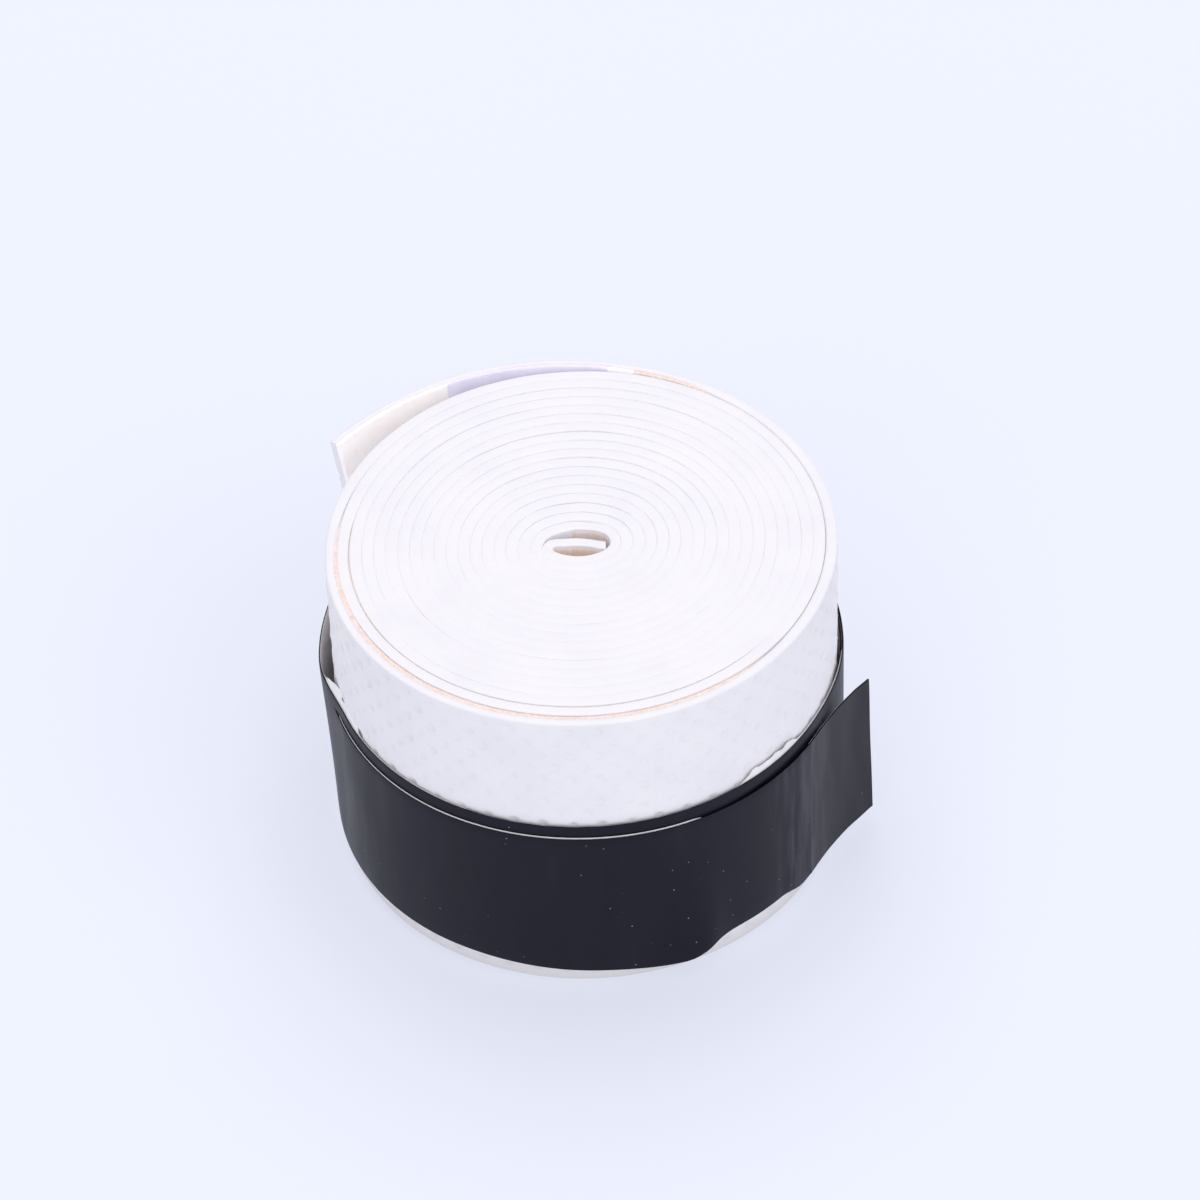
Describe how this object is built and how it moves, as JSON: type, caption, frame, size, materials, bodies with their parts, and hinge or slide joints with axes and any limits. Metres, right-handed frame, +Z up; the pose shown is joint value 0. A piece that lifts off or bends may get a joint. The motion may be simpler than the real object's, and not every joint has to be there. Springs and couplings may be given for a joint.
{
  "type": "grip tape roll",
  "caption": "Racket overgrip wound into a roll standing on end, with a flared free end, a starter release film and a slip-off finishing tape round its lower half.",
  "frame": {"origin": "middle of the roll on its bottom end face", "axes": "+Z up along the roll's winding axis, +Y towards the side where the strip's free end leaves the roll, which then runs towards -X"},
  "size_m": [0.0369, 0.035, 0.025],
  "materials": {
    "grip_face": "satin",
    "grip_backing": "matte",
    "adhesive": "gloss",
    "release_film": "gloss",
    "finishing_tape": "satin",
    "tape_liner": "satin"
  },
  "bodies": {
    "roll": {"grip_face": "grip_face", "grip_face_tail": "grip_face", "grip_backing": "grip_backing", "grip_backing_tail": "grip_backing", "starter_adhesive": "adhesive"},
    "release_film": {"starter_release_film": "release_film"},
    "band": {"finishing_tape": "finishing_tape", "tape_liner": "tape_liner"},
    "band_free_end": {"finishing_tape_tail": "finishing_tape", "tape_liner_tail": "tape_liner"}
  },
  "joints": [
    {"name": "release_film_pull", "type": "slide", "parent": "roll", "child": "release_film", "axis": [0, 0, 1], "range_m": [0, 0.03]},
    {"name": "band_slip", "type": "slide", "parent": "roll", "child": "band", "axis": [0, 0, 1], "range_m": [-0.0155, 0]},
    {"name": "band_free_end_peel", "type": "hinge", "parent": "band", "child": "band_free_end", "pos_m": [0.01462, -0.00958, 0.0077], "axis": [0, 0, 1], "range_deg": [-120, 0]}
  ]
}
